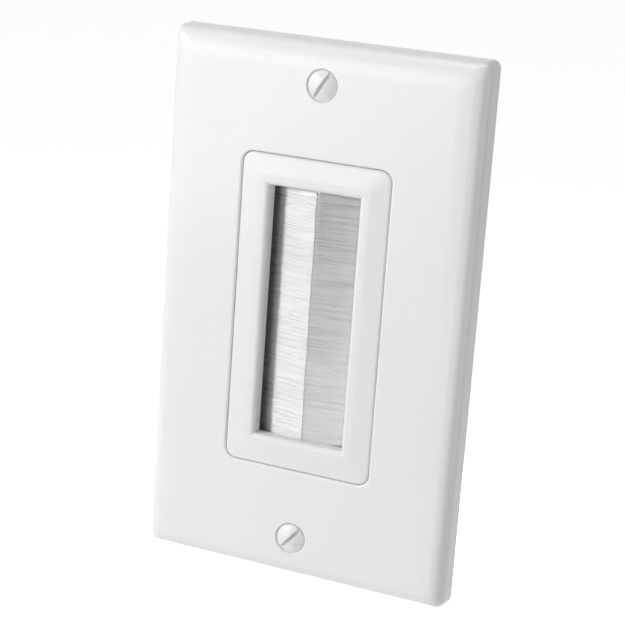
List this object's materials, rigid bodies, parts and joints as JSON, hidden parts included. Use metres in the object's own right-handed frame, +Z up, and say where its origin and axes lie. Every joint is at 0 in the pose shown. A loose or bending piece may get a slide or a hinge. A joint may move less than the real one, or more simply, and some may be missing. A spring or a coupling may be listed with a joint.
{
  "type": "brush wall plate",
  "caption": "Tall rectangular wall plate with a framed slot closed by facing strips of bristles, for passing low-voltage cables through a wall.",
  "frame": {"origin": "centre of the plate on the wall plane, in the middle of the flat rim that meets the wall", "axes": "+Z up along the plate's length, +Y into the wall, the front faces -Y, +X to the right seen from the front"},
  "size_m": [0.0698, 0.0245, 0.1142],
  "materials": {
    "plate_plastic": "glossy moulded white",
    "insert_plastic": "semi-gloss moulded white",
    "retainer_plastic": "fine matt moulded white",
    "nylon_filament": "bundled clear-white filaments",
    "channel_metal": "mill finish",
    "wire_steel": "drawn wire",
    "painted_screw": "thin white paint over turned metal",
    "plated_screw": "zinc plated",
    "keeper_card": "pressed fibre card"
  },
  "bodies": {
    "root": {"wall_plate": "plate_plastic", "insert_frame": "insert_plastic", "brush_retainer": "retainer_plastic", "left_bristles": "nylon_filament", "right_bristles": "nylon_filament", "left_channel": "channel_metal", "right_channel": "channel_metal", "left_core_wire": "wire_steel", "right_core_wire": "wire_steel", "plate_screw_top": "painted_screw", "plate_screw_bottom": "painted_screw", "box_screw_top": "plated_screw", "box_screw_bottom": "plated_screw", "screw_keeper_top": "keeper_card", "screw_keeper_bottom": "keeper_card", "retainer_screw_upper_left": "plated_screw", "retainer_screw_upper_right": "plated_screw", "retainer_screw_lower_left": "plated_screw", "retainer_screw_lower_right": "plated_screw"}
  },
  "joints": []
}
